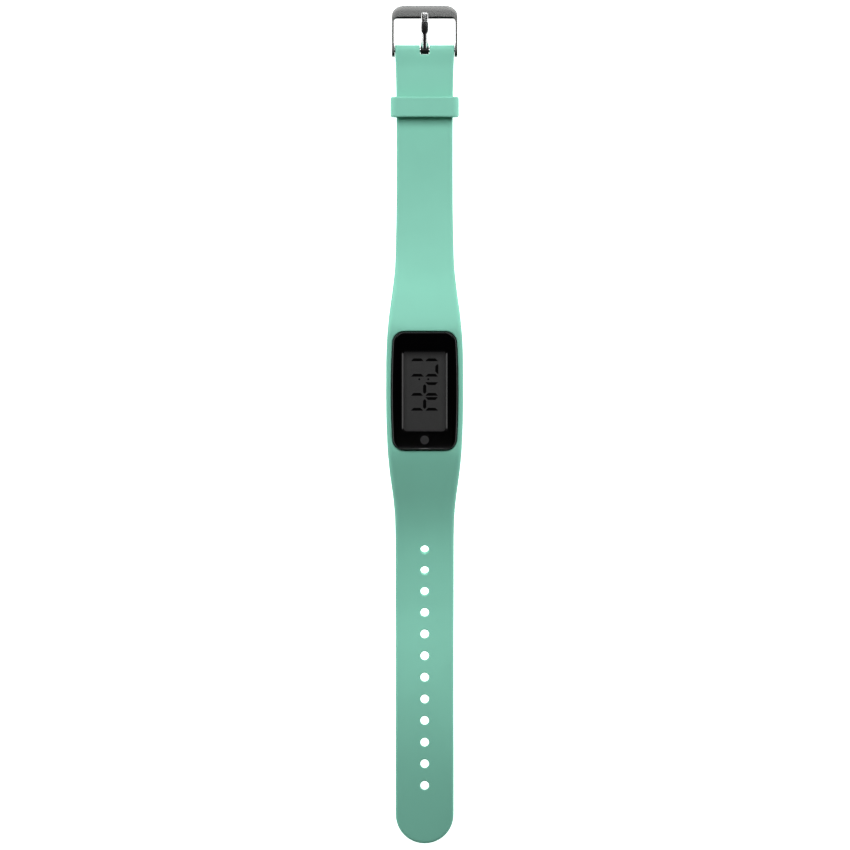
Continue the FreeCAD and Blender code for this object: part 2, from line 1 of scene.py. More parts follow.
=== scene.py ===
import bpy
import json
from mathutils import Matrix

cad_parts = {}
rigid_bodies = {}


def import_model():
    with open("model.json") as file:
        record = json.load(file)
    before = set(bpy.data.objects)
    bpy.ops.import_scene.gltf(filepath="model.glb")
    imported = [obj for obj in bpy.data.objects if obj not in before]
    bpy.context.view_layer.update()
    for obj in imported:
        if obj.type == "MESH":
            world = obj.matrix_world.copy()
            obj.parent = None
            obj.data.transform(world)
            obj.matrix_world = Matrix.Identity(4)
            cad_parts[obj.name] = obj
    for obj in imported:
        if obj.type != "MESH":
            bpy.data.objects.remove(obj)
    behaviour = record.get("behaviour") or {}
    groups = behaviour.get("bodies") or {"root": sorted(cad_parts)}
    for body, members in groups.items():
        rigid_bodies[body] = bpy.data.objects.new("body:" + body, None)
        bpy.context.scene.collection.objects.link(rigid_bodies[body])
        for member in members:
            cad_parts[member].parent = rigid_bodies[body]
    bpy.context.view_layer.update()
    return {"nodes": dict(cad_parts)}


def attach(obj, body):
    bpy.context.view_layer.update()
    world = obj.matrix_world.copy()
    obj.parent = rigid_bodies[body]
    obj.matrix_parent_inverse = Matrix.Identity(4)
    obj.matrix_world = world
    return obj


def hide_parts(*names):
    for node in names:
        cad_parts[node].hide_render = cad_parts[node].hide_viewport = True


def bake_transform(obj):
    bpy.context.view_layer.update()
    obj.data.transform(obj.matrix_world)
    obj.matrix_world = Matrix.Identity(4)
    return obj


for o in list(bpy.context.scene.objects):          # an empty scene to start from
    if o.name in ("Cube", "Light", "Camera"):
        bpy.data.objects.remove(o, do_unlink=True)
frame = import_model()

import json
import math
import numpy as np
from mathutils import Vector

# All drawing sizes are millimetres with Y = 0 at the middle of the module;
# to_m() moves them to the row frame.
YS = 10.15


def to_m(p):
    return (p[0] * 0.001, (p[1] + YS) * 0.001, p[2] * 0.001)


# ----------------------------------------------------------------------------
# tables of the moulded band
# ----------------------------------------------------------------------------
WIDTH = [(-127.05, 8.70), (-110.6, 8.71), (-98.6, 8.69), (-74.6, 8.69), (-62.6, 8.74),
         (-44.6, 8.74), (-41.6, 8.79), (-38.6, 8.87), (-37.1, 8.94), (-35.6, 9.06),
         (-34.1, 9.18), (-32.6, 9.34), (-31.1, 9.51), (-29.6, 9.71), (-28.1, 9.92),
         (-26.6, 10.13), (-25.1, 10.33), (-23.6, 10.51), (-22.1, 10.67), (-20.6, 10.82),
         (-19.1, 10.95), (-17.6, 11.07), (-14.6, 11.22), (-11.6, 11.34), (-8.6, 11.43),
         (-5.6, 11.49), (-2.0, 11.52), (2.0, 11.52), (6.0, 11.51), (9.4, 11.48),
         (12.4, 11.40), (15.4, 11.28), (16.9, 11.17), (18.4, 11.03), (19.9, 10.90),
         (21.4, 10.75), (22.9, 10.58), (24.4, 10.39), (25.9, 10.19), (27.4, 9.98),
         (28.9, 9.78), (30.4, 9.59), (31.9, 9.41), (33.4, 9.23), (34.9, 9.07),
         (36.4, 8.94), (39.4, 8.77), (42.4, 8.68), (45.4, 8.63), (51.4, 8.51),
         (57.4, 8.44), (63.4, 8.42), (69.4, 8.41), (81.4, 8.42), (90.4, 8.53),
         (96.4, 8.68), (102.36, 8.90)]
TAIL_TOP = [(0, 19.2), (18, 19.2), (20, 18.75), (23, 17.55), (28, 15.1), (32, 12.7), (36, 10.4),
            (40, 8.35), (44, 6.75), (47.3, 5.75), (53.6, 4.2), (60, 3.0), (66.4, 2.2), (72, 2.0)]
TAIL_BOT = [(0, 10.3), (18, 10.3), (23, 10.15), (28, 9.65), (32, 8.75), (36, 7.35), (40, 5.85),
            (44, 4.58), (47.3, 3.69), (53.6, 2.14), (60, 0.97), (66.4, 0.20), (72, 0.0)]
CLASP_TOP = [(0, 19.2), (18, 19.2), (20, 18.8), (23, 17.65), (28, 15.4), (32, 13.2), (36, 11.1),
             (40, 9.3), (44, 7.8), (50, 6.1), (56, 4.85), (62, 4.05), (68, 3.62), (74, 3.5)]
CLASP_BOT = [(0, 10.3), (18, 10.3), (23, 10.18), (28, 9.8), (32, 9.05), (36, 7.85), (40, 6.6),
             (44, 5.45), (50, 3.99), (56, 2.81), (62, 2.04), (68, 1.62), (74, 1.5)]
HOLES = (-47.26, -53.58, -59.96, -66.35, -72.84, -79.37,
         -85.82, -92.36, -98.81, -105.34, -111.79, -118.31)
TIP_Y, TIP_R = -127.05, 8.70
BAR_Y, BAR_Z, END_R = 102.36, 2.5, 1.5
SWELL = 97.0                    # the strap thickens from here to its moulded end
CAP_X, CAP_Y, CAP_R, BELLY = 9.93, 17.68, 3.4, 0.35


def interp(table, x):
    xs = [p[0] for p in table]
    ys = [p[1] for p in table]
    if x <= xs[0]:
        return ys[0]
    if x >= xs[-1]:
        return ys[-1]
    n = len(xs)
    h = [xs[i + 1] - xs[i] for i in range(n - 1)]
    d = [(ys[i + 1] - ys[i]) / h[i] for i in range(n - 1)]
    m = [0.0] * n
    m[0], m[-1] = d[0], d[-1]
    for i in range(1, n - 1):
        if d[i - 1] * d[i] > 0:
            w1 = 2 * h[i] + h[i - 1]
            w2 = h[i] + 2 * h[i - 1]
            m[i] = (w1 + w2) / (w1 / d[i - 1] + w2 / d[i])
    i = 0
    while x > xs[i + 1]:
        i += 1
    t = (x - xs[i]) / h[i]
    return ((1 + 2 * t) * (1 - t) ** 2 * ys[i] + t * (1 - t) ** 2 * h[i] * m[i]
            + t * t * (3 - 2 * t) * ys[i + 1] + t * t * (t - 1) * h[i] * m[i + 1])


def top_z(y):
    z = interp(CLASP_TOP if y > 0 else TAIL_TOP, abs(y))
    if y >= BAR_Y:
        return BAR_Z + math.sqrt(max(END_R ** 2 - (y - BAR_Y) ** 2, 0.0))
    if y > SWELL:
        t = (y - SWELL) / (BAR_Y - SWELL)
        z += (BAR_Z + END_R - z) * t * t * (3 - 2 * t)
    return z


def bot_z(y):
    z = interp(CLASP_BOT if y > 0 else TAIL_BOT, abs(y))
    if y >= BAR_Y:
        return BAR_Z - math.sqrt(max(END_R ** 2 - (y - BAR_Y) ** 2, 0.0))
    if y > SWELL:
        t = (y - SWELL) / (BAR_Y - SWELL)
        z += (BAR_Z - END_R - z) * t * t * (3 - 2 * t)
    return z


def width(y):
    return interp(WIDTH, y)


def slope(y):
    f = lambda t: 0.5 * (interp(CLASP_TOP if t > 0 else TAIL_TOP, abs(t)) + interp(CLASP_BOT if t > 0 else TAIL_BOT, abs(t)))
    return math.atan2(f(y + 0.5) - f(y - 0.5), 1.0)


# horizontal and vertical rounding of the upper and lower edges against |Y|
RH_T = [(0, 0.85), (14, 0.95), (18, 1.25), (22, 1.9), (32, 1.9), (42, 1.3), (52, 0.85), (60, 0.75)]
RV_T = [(0, 0.80), (14, 0.85), (20, 1.2), (32, 1.2), (44, 0.75), (60, 0.55)]
RH_B = [(0, 1.5), (22, 1.5), (36, 1.1), (52, 0.6)]
RV_B = [(0, 1.8), (22, 1.6), (36, 0.9), (52, 0.5)]

VERT = []
FACE = []


def add(x, y, z):
    VERT.append((x, y, z))
    return len(VERT) - 1


def face(*ids):
    ids = [k for i, k in enumerate(ids) if k != ids[i - 1]]
    if len(ids) > 2:
        FACE.append(tuple(ids))


def strip(a, b, closed=False, flip=False):
    n = len(a)
    for k in range(n if closed else n - 1):
        k2 = (k + 1) % n
        if flip:
            face(a[k], b[k], b[k2], a[k2])
        else:
            face(a[k], a[k2], b[k2], b[k])


# ----------------------------------------------------------------------------
# rows along the band
# ----------------------------------------------------------------------------
CL_EDGE = [20.0, 28.3, 38.8, 49.75, 61.25, 72.8, 84.4]            # piece limits, buckle half
TL_EDGE = [20.0, 28.3, 38.8, 50.42, 63.155, 76.105, 89.09, 102.075, 115.05]
OPEN_ROW = 20.0


def fill(a, b, step):
    n = max(1, int(math.ceil(abs(b - a) / step - 1e-6)))
    return [a + (b - a) * i / n for i in range(n)]


rows = [BAR_Y + END_R * math.cos(math.radians(t)) for t in (0, 12, 24, 36, 48, 60, 75, 90, 105, 120, 134)]
rows += [101.0, 100.5, 99.5]
NOTCH_ROW = len(rows)
marks = [98.5] + list(reversed([e for e in CL_EDGE if e > OPEN_ROW])) + [OPEN_ROW]
for a, b in zip(marks[:-1], marks[1:]):
    rows += fill(a, b, 1.25)
CAP_A = len(rows)
rows += fill(OPEN_ROW, -OPEN_ROW, 1.5)
CAP_B = len(rows)
marks = [-OPEN_ROW] + [-e for e in TL_EDGE if OPEN_ROW < e < 44] + [HOLES[0] + 3.0]
for a, b in zip(marks[:-1], marks[1:]):
    rows += fill(a, b, 1.1)
hole_row = {}
tl = [-e for e in TL_EDGE] + [-56.77, -69.6, -82.6, -95.6, -108.57]
for i, c in enumerate(HOLES):
    hole_row[len(rows)] = c
    rows += [c + 3.0 - k for k in range(7)]
    if i < 11:
        lo, hi = HOLES[i + 1] + 3.0, c - 3.0
        between = [t for t in tl if lo < t < hi]
        rows.append(between[0] if between else 0.5 * (lo + hi))
rows += fill(HOLES[-1] - 3.0, TIP_Y, 1.2)[1:]
N_ROW = len(rows)
rows.append(TIP_Y)
NK = 6
COLS = 13


def radii(y):
    a = abs(y)
    t = top_z(y) - bot_z(y)
    rht, rvt = interp(RH_T, a), min(interp(RV_T, a), 0.45 * t)
    rhb, rvb = interp(RH_B, a), min(interp(RV_B, a), 0.45 * t)
    return rht, rvt, rhb, rvb


def columns(W, notch=0.0):
    o = [3 + (W - 3) * k / 3 for k in (1, 2, 3)]
    return [-o[2], -o[1], -o[0], -3, -2, -1, 0, 1, 2, 3, o[0], o[1], o[2]]


def lay_grid(upper):
    """Vertex grid of the upper or lower face, tip half disc included."""
    zf = top_z if upper else bot_z
    g = []
    for i, y in enumerate(rows):
        rht, rvt, rhb, rvb = radii(y)
        W = width(y) - (rht if upper else rhb)
        g.append([add(x, y, zf(y)) for x in columns(W)])
    R = TIP_R - (radii(TIP_Y)[0] if upper else radii(TIP_Y)[2])
    z = zf(TIP_Y)
    da = 180.0 / (2 * NK + 12)
    top = columns(R)
    L = [(R * math.cos(math.radians(180 + da * m)), TIP_Y + R * math.sin(math.radians(180 + da * m))) for m in range(NK + 1)]
    B = [(R * math.cos(math.radians(180 + da * (NK + j))), TIP_Y + R * math.sin(math.radians(180 + da * (NK + j)))) for j in range(COLS)]
    Rt = [(-p[0], p[1]) for p in L]
    for m in range(1, NK + 1):
        v = m / NK
        row = []
        for j in range(COLS):
            u = j / (COLS - 1)
            T = (top[j], TIP_Y)
            x = (1 - v) * T[0] + v * B[j][0] + (1 - u) * L[m][0] + u * Rt[m][0] \
                - ((1 - u) * (1 - v) * top[0] + u * (1 - v) * top[-1] + (1 - u) * v * B[0][0] + u * v * B[-1][0])
            yy = (1 - v) * T[1] + v * B[j][1] + (1 - u) * L[m][1] + u * Rt[m][1] \
                - ((1 - u) * (1 - v) * TIP_Y + u * (1 - v) * TIP_Y + (1 - u) * v * B[0][1] + u * v * B[-1][1])
            row.append(add(x, yy, z))
        g.append(row)
    return g


def rr_loop(hx, hy, r, belly, nside):
    """Rounded rectangle, points matched to the grid block round the module:
    12 cells along each end and nside cells along each side.  Starts at the
    upper left corner point and runs clockwise seen from above."""
    hs = hx - belly

    def arc(cx, cy, a0, a1, n):
        return [(cx + r * math.cos(math.radians(a0 + (a1 - a0) * k / n)),
                 cy + r * math.sin(math.radians(a0 + (a1 - a0) * k / n))) for k in range(n)]

    def side_x(y):
        # arc through (hs, +-(hy-r)) and (hx, 0)
        half = hy - r
        if belly < 1e-6:
            return hx
        rad = (half * half + belly * belly) / (2 * belly)
        return hx - rad + math.sqrt(max(rad * rad - y * y, 0))
    pts = []
    # end: half arc 3, straight 6, half arc 3
    pts += arc(-hs + r, hy - r, 135, 90, 3)
    pts += [(-hs + r + (2 * hs - 2 * r) * k / 6, hy) for k in range(6)]
    pts += arc(hs - r, hy - r, 90, 45, 3)
    ns = nside - 6
    right = arc(hs - r, hy - r, 45, 0, 3)
    ys = [(hy - r) - 2 * (hy - r) * k / ns for k in range(ns)]
    right += [(side_x(y), y) for y in ys]
    right += arc(hs - r, -hy + r, 0, -45, 3)
    pts += right
    pts += arc(hs - r, -hy + r, -45, -90, 3)
    pts += [(hs - r - (2 * hs - 2 * r) * k / 6, -hy) for k in range(6)]
    pts += arc(-hs + r, -hy + r, -90, -135, 3)
    left = arc(-hs + r, -hy + r, 225, 180, 3)
    left += [(-side_x(y), -y) for y in ys]
    left += arc(-hs + r, hy - r, 180, 135, 3)
    pts += left
    return pts


def block_loop(g, i0, i1, j0, j1):
    """Perimeter of a block of the grid, clockwise from the upper left corner."""
    out = [g[i0][j] for j in range(j0, j1)]
    out += [g[i][j1] for i in range(i0, i1)]
    out += [g[i1][j] for j in range(j1, j0, -1)]
    out += [g[i][j0] for i in range(i1, i0, -1)]
    return out


GT = lay_grid(True)
GB = lay_grid(False)
GB[0] = GT[0]                                   # the moulded end closes here
NR = len(GT)


def is_cut(i, j):
    if i < NOTCH_ROW and 3 <= j < 9:
        return True
    if CAP_A <= i < CAP_B:
        return True
    for r0 in hole_row:
        if r0 <= i < r0 + 6 and 3 <= j < 9:
            return True
    return False


for g, up in ((GT, True), (GB, False)):
    for i in range(NR - 1):
        for j in range(COLS - 1):
            if is_cut(i, j):
                continue
            q = (g[i][j], g[i + 1][j], g[i + 1][j + 1], g[i][j + 1])
            face(*(q if up else q[::-1]))

# strap holes
for r0, c in hole_row.items():
    a = slope(c)
    rim = {}
    for g, up in ((GT, True), (GB, False)):
        zf = top_z if up else bot_z
        s = 1 if up else -1
        cy = c - s * math.sin(a) * 1.0
        loop = block_loop(g, r0, r0 + 6, 3, 9)
        n = len(loop)
        f = 0.28

        def ring(rad, drop, mix=0.0):
            out = []
            for k in range(n):
                t = math.radians(135 - 360.0 * k / n)
                x, y = rad * math.cos(t), cy + rad * math.sin(t) * math.cos(a)
                if mix:
                    x = x * (1 - mix) + VERT[loop[k]][0] * mix
                    y = y * (1 - mix) + VERT[loop[k]][1] * mix
                out.append(add(x, y, zf(y) - s * drop))
            return out
        rings = [loop, ring(1.3 + f, 0, 0.62), ring(1.3 + f, 0, 0.28), ring(1.3 + f, 0)]
        for q in (22.5, 45, 67.5, 90):
            q = math.radians(q)
            rings.append(ring(1.3 + f * (1 - math.sin(q)), f * (1 - math.cos(q))))
        for p, q in zip(rings[:-1], rings[1:]):
            strip(p, q, True, flip=up)
        rim[up] = rings[-1]
    strip(rim[True], rim[False], True, flip=True)

# prong notch in the strap end
rim = {}
for g, up in ((GT, True), (GB, False)):
    zf = top_z if up else bot_z
    s = 1 if up else -1
    outer = [g[i][3] for i in range(NOTCH_ROW + 1)] + [g[NOTCH_ROW][j] for j in range(4, 9)] \
        + [g[i][9] for i in range(NOTCH_ROW, -1, -1)]

    def contour(off, drop, mix=0.0):
        hw, y0, r = 1.45 + off, 101.0 - off, 0.5 + off
        low = [i for i in range(NOTCH_ROW + 1) if rows[i] < y0 + r]
        pts = []
        for i in range(NOTCH_ROW + 1):
            if i not in low:
                pts.append((-hw, rows[i]))
            else:
                t = math.radians(180 + 45 * (low.index(i) + 1) / len(low))
                pts.append((-hw + r + r * math.cos(t), y0 + r + r * math.sin(t)))
        t = math.radians(247.5)
        mid = [(-hw + r + r * math.cos(t), y0 + r + r * math.sin(t)), (-0.45, y0), (0, y0), (0.45, y0),
               (hw - r - r * math.cos(t), y0 + r + r * math.sin(t))]
        pts = pts + mid + [(-x, y) for x, y in reversed(pts)]
        out = []
        for k, (x, y) in enumerate(pts):
            if mix:
                ox, oy, _ = VERT[outer[k]]
                x, y = x * (1 - mix) + ox * mix, y * (1 - mix) + oy * mix
            lim = 0.45 * (top_z(y) - bot_z(y))
            out.append(add(x, y, zf(y) - s * min(drop, lim)))
        return out
    f = 0.42
    loops = [outer, contour(f, 0, 0.55), contour(f, 0, 0.12), contour(f, 0)]
    for q in (18, 36, 54, 72, 90):
        q = math.radians(q)
        loops.append(contour(f * (1 - math.sin(q)), f * (1 - math.cos(q))))
    for p, q in zip(loops[:-1], loops[1:]):
        strip(p, q, False, flip=not up)
    rim[up] = loops[-1]
strip(rim[True], rim[False], False, flip=False)

# module pocket
NS = CAP_B - CAP_A
walls = {}
for g, up in ((GT, True), (GB, False)):
    zf = top_z if up else bot_z
    s = 1 if up else -1
    outer = block_loop(g, CAP_A, CAP_B, 0, 12)

    def loop_at(off, drop, mix=0.0):
        if up:
            pts = rr_loop(CAP_X + 0.10 + off, CAP_Y + 0.10 + off, CAP_R + 0.10 + off, BELLY, NS)
        else:
            pts = rr_loop(8.3 + off, 15.75 + off, 2.4 + off, 0.0, NS)
        out = []
        for k, (x, y) in enumerate(pts):
            if mix:
                ox, oy, _ = VERT[outer[k]]
                x, y = x * (1 - mix) + ox * mix, y * (1 - mix) + oy * mix
            out.append(add(x, y, zf(y) - s * drop))
        return out
    f = 0.34
    loops = [outer, loop_at(f, 0, 0.7), loop_at(f, 0, 0.4), loop_at(f, 0, 0.15), loop_at(f, 0)]
    for q in (22.5, 45, 67.5, 90):
        q = math.radians(q)
        loops.append(loop_at(f * (1 - math.sin(q)), f * (1 - math.cos(q))))
    for p, q in zip(loops[:-1], loops[1:]):
        strip(p, q, True, flip=up)
    walls[up] = loops[-1]
lip = rr_loop(CAP_X + 0.10, CAP_Y + 0.10, CAP_R + 0.10, BELLY, NS)
shelf_out = [add(x, y, 11.6) for x, y in lip]
shelf_in = [add(x, y, 11.6) for x, y in rr_loop(8.3, 15.75, 2.4, 0.0, NS)]
strip(walls[True], shelf_out, True, flip=True)
strip(shelf_out, shelf_in, True, flip=True)
strip(shelf_in, walls[False], True, flip=True)

# outer edge, swept round the outline
def border(g):
    out = [g[i][0] for i in range(NR)]
    out += [g[NR - 1][j] for j in range(1, COLS)]
    out += [g[i][COLS - 1] for i in range(NR - 2, -1, -1)]
    return out


bt, bb = border(GT), border(GB)


def outward(k):
    x, y, _ = VERT[bt[k]]
    if y < TIP_Y:
        d = math.hypot(x, y - TIP_Y)
        return (x / d, (y - TIP_Y) / d)
    return (-1.0, 0.0) if x < 0 else (1.0, 0.0)


layers = [bt]
for q in (18, 36, 54, 72, 90):
    q = math.radians(q)
    lay = []
    for k, vid in enumerate(bt):
        x, y, z = VERT[vid]
        yy = max(y, TIP_Y)
        rht, rvt, rhb, rvb = radii(yy)
        nx, ny = outward(k)
        lay.append(add(x + nx * rht * math.sin(q), y + ny * rht * math.sin(q), z - rvt * (1 - math.cos(q))))
    layers.append(lay)
low = []
for q in (90, 72, 54, 36, 18):
    q = math.radians(q)
    lay = []
    for k, vid in enumerate(bb):
        x, y, z = VERT[vid]
        yy = max(y, TIP_Y)
        rht, rvt, rhb, rvb = radii(yy)
        nx, ny = outward(k)
        lay.append(add(x + nx * rhb * math.sin(q), y + ny * rhb * math.sin(q), z + rvb * (1 - math.cos(q))))
    low.append(lay)
A, B = layers[-1], low[0]
for m in (1, 2, 3):
    t = m / 4.0
    lay = []
    for k in range(len(A)):
        a, b = VERT[A[k]], VERT[B[k]]
        lay.append(add(a[0] + (b[0] - a[0]) * t, a[1] + (b[1] - a[1]) * t, a[2] + (b[2] - a[2]) * t))
    layers.append(lay)
layers += low + [bb]
for p, q in zip(layers[:-1], layers[1:]):
    strip(p, q, False, flip=True)


# ----------------------------------------------------------------------------
# from lists to Blender meshes
# ----------------------------------------------------------------------------
def weld(verts, faces, eps=1e-4):
    key = {}
    remap = []
    out = []
    for v in verts:
        k = (round(v[0] / eps), round(v[1] / eps), round(v[2] / eps))
        if k not in key:
            key[k] = len(out)
            out.append(v)
        remap.append(key[k])
    nf = []
    for f in faces:
        g = [remap[i] for i in f]
        g = [a for i, a in enumerate(g) if a != g[i - 1]]
        if len(set(g)) == len(g) and len(g) > 2:
            nf.append(tuple(g))
    return out, nf


def vertex_normals(verts, faces):
    co = np.array(verts)
    nrm = np.zeros_like(co)
    for f in faces:
        p = co[list(f)]
        c = p.mean(0)
        n = np.zeros(3)
        for i in range(len(f)):
            n += np.cross(p[i] - c, p[(i + 1) % len(f)] - c)
        for i in f:
            nrm[i] += n
    ln = np.linalg.norm(nrm, axis=1)
    ln[ln < 1e-12] = 1
    return nrm / ln[:, None]


def make_object(name, verts, faces, normals=None, smooth=True):
    used = sorted({i for f in faces for i in f})
    idx = {v: k for k, v in enumerate(used)}
    me = bpy.data.meshes.new(name)
    me.from_pydata([to_m(verts[i]) for i in used], [], [tuple(idx[i] for i in f) for f in faces])
    me.update()
    me.polygons.foreach_set("use_smooth", [smooth] * len(me.polygons))
    ob = bpy.data.objects.new(name, me)
    bpy.context.scene.collection.objects.link(ob)
    if normals is not None:
        me.normals_split_custom_set_from_vertices([tuple(normals[i]) for i in used])
    return ob


band_v, band_f = weld(VERT, FACE)
band_n = vertex_normals(band_v, band_f)
# signed volume tells whether the faces point outward
vol = 0.0
for f in band_f:
    p0 = np.array(band_v[f[0]])
    for i in range(1, len(f) - 1):
        vol += np.dot(p0, np.cross(band_v[f[i]], band_v[f[i + 1]])) / 6.0
print("band volume mm3", round(vol, 1), "verts", len(band_v), "faces", len(band_f))
edge_use = {}
for f in band_f:
    for i in range(len(f)):
        e = (f[i - 1], f[i])
        edge_use[e] = edge_use.get(e, 0) + 1
bad = sum(1 for (a, b), n in edge_use.items() if n > 1 or (b, a) not in edge_use)
print("band open or doubled edges", bad)
for (a, b), n in list(edge_use.items()):
    if n > 1 or (b, a) not in edge_use:
        print("  ", n, [round(t, 2) for t in band_v[a]], [round(t, 2) for t in band_v[b]])


# ----------------------------------------------------------------------------
# materials, all procedural
# ----------------------------------------------------------------------------
def new_mat(name):
    m = bpy.data.materials.new(name)
    m.use_nodes = True
    nt = m.node_tree
    b = nt.nodes["Principled BSDF"]
    return m, nt, b


def coord(nt, scale=(1, 1, 1)):
    tc = nt.nodes.new("ShaderNodeTexCoord")
    mp = nt.nodes.new("ShaderNodeMapping")
    mp.inputs["Scale"].default_value = scale
    nt.links.new(tc.outputs["Object"], mp.inputs["Vector"])
    return mp.outputs["Vector"]


def noise(nt, vec, scale, detail=3.0, rough=0.5):
    n = nt.nodes.new("ShaderNodeTexNoise")
    n.inputs["Scale"].default_value = scale
    n.inputs["Detail"].default_value = detail
    n.inputs["Roughness"].default_value = rough
    nt.links.new(vec, n.inputs["Vector"])
    return n.outputs["Fac"]


def ramp(nt, fac, stops):
    r = nt.nodes.new("ShaderNodeValToRGB")
    e = r.color_ramp.elements
    e[0].position, e[0].color = stops[0][0], (*stops[0][1], 1)
    e[1].position, e[1].color = stops[-1][0], (*stops[-1][1], 1)
    for p, c in stops[1:-1]:
        k = e.new(p)
        k.color = (*c, 1)
    nt.links.new(fac, r.inputs["Fac"])
    return r.outputs["Color"]


def remap(nt, fac, lo, hi):
    m = nt.nodes.new("ShaderNodeMapRange")
    m.inputs["From Min"].default_value = 0.25
    m.inputs["From Max"].default_value = 0.75
    m.inputs["To Min"].default_value = lo
    m.inputs["To Max"].default_value = hi
    nt.links.new(fac, m.inputs["Value"])
    return m.outputs["Result"]


def bump(nt, b, height, strength, distance, prev=None):
    n = nt.nodes.new("ShaderNodeBump")
    n.inputs["Strength"].default_value = strength
    n.inputs["Distance"].default_value = distance
    nt.links.new(height, n.inputs["Height"])
    if prev is not None:
        nt.links.new(prev, n.inputs["Normal"])
    nt.links.new(n.outputs["Normal"], b.inputs["Normal"])
    return n.outputs["Normal"]


def tint(c, k):
    return tuple(max(0.0, min(1.0, v * k)) for v in c)


def generic(name, color, rough, metal=0.0, spec=0.5, var=0.06, vscale=120.0, grain=2500.0, gstrength=0.15,
            gdist=0.00002, rvar=0.05, stretch=(1, 1, 1), coat=0.0):
    m, nt, b = new_mat(name)
    v = coord(nt, stretch)
    n1 = noise(nt, v, vscale, 4.0)
    c = ramp(nt, n1, [(0.3, tint(color, 1 - var)), (0.7, tint(color, 1 + var))])
    nt.links.new(c, b.inputs["Base Color"])
    n2 = noise(nt, v, grain, 2.0)
    nt.links.new(remap(nt, n2, max(rough - rvar, 0.01), rough + rvar), b.inputs["Roughness"])
    bump(nt, b, n2, gstrength, gdist)
    b.inputs["Metallic"].default_value = metal
    b.inputs["Specular IOR Level"].default_value = spec
    if coat:
        b.inputs["Coat Weight"].default_value = coat
        b.inputs["Coat Roughness"].default_value = 0.05
    return m


MINT = (0.262, 0.600, 0.478)


def silicone_mat():
    m, nt, b = new_mat("mint_silicone")
    v = coord(nt)
    n1 = noise(nt, v, 45.0, 3.0)
    n2 = noise(nt, v, 420.0, 3.0)
    c = ramp(nt, n1, [(0.30, tint(MINT, 0.975)), (0.70, tint(MINT, 1.025))])
    nt.links.new(c, b.inputs["Base Color"])
    grain = noise(nt, v, 2600.0, 2.0, 0.6)
    nt.links.new(remap(nt, n2, 0.50, 0.60), b.inputs["Roughness"])
    soft = bump(nt, b, n2, 0.10, 0.00006)
    bump(nt, b, grain, 0.22, 0.00003, soft)
    b.inputs["Specular IOR Level"].default_value = 0.14
    b.inputs["Sheen Weight"].default_value = 0.03
    b.inputs["Sheen Roughness"].default_value = 0.5
    return m


M_SIL = silicone_mat()
M_SATIN = generic("satin_steel", (0.215, 0.218, 0.215), 0.25, metal=1.0, var=0.04, vscale=60.0, grain=900.0,
                  gstrength=0.03, gdist=0.00001, rvar=0.02, stretch=(1.0, 9.0, 1.0))
M_POLISH = generic("polished_steel", (0.72, 0.725, 0.73), 0.15, metal=1.0, var=0.03, vscale=200.0, grain=500.0,
                   gstrength=0.01, gdist=0.000005, rvar=0.015, stretch=(1.0, 0.2, 1.0))
# near-black steel for the prong's hub ring: painted shade, standing for the dark inside the strap's notch round the hub
M_HUB_SHADE = generic("hub_steel_painted_shade", (0.028, 0.030, 0.029), 0.42, metal=0.6, spec=0.2, var=0.08, vscale=300.0, gstrength=0.1)
M_BRIGHT = generic("bright_steel", (0.60, 0.61, 0.62), 0.25, metal=1.0, stretch=(6.0, 1.0, 1.0))
M_BLACK = generic("gloss_black", (0.0012, 0.0012, 0.0014), 0.14, spec=0.30, var=0.15, vscale=80.0, grain=700.0,
                  gstrength=0.015, gdist=0.00001, rvar=0.015)
M_BACK = generic("satin_black", (0.010, 0.010, 0.011), 0.42, spec=0.4, var=0.1, gstrength=0.25)
M_BUTTON = generic("dark_grey_plastic", (0.034, 0.034, 0.035), 0.55, spec=0.3, var=0.08, vscale=900.0, gstrength=0.35)
M_LCD = generic("lcd_panel", (0.052, 0.052, 0.052), 0.5, spec=0.12, var=0.02, vscale=300.0, grain=4000.0, gstrength=0.02, rvar=0.02)
# the LCD panel is given a faint glow: painted light that lifts the shade the window recess casts over its upper edge
M_LCD.node_tree.nodes["Principled BSDF"].inputs["Emission Color"].default_value = (1, 1, 1, 1)
M_LCD.node_tree.nodes["Principled BSDF"].inputs["Emission Strength"].default_value = 0.02
M_SEG = generic("lcd_segment", (0.0012, 0.0012, 0.0012), 0.6, spec=0.05, var=0.1)
M_BEZEL = generic("bezel_grey", (0.035, 0.035, 0.036), 0.5)
M_RUBBER = generic("black_rubber", (0.020, 0.020, 0.021), 0.6, gstrength=0.3)
M_BOARD = generic("board_green", (0.020, 0.11, 0.05), 0.35, var=0.2, vscale=700.0)
M_CHIP = generic("chip_black", (0.02, 0.02, 0.022), 0.5, gstrength=0.3)
M_SWITCH = generic("switch_cream", (0.55, 0.52, 0.44), 0.5)
M_CAN = generic("can_steel", (0.62, 0.63, 0.64), 0.3, metal=1.0, var=0.04, stretch=(4.0, 1.0, 1.0))
M_TAN = generic("ceramic_tan", (0.36, 0.25, 0.15), 0.5)
M_BRASS = generic("contact_brass", (0.70, 0.55, 0.28), 0.3, metal=1.0)


def clear_mat():
    m, nt, b = new_mat("clear_window")
    v = coord(nt)
    n2 = noise(nt, v, 900.0, 2.0)
    c = ramp(nt, n2, [(0.3, (0.01, 0.01, 0.01)), (0.7, (0.014, 0.014, 0.014))])
    nt.links.new(c, b.inputs["Base Color"])
    nt.links.new(remap(nt, n2, 0.03, 0.06), b.inputs["Roughness"])
    b.inputs["Alpha"].default_value = 0.10
    b.inputs["Specular IOR Level"].default_value = 0.25
    return m


M_CLEAR = clear_mat()


def paint(ob, m):
    ob.data.materials.clear()
    ob.data.materials.append(m)
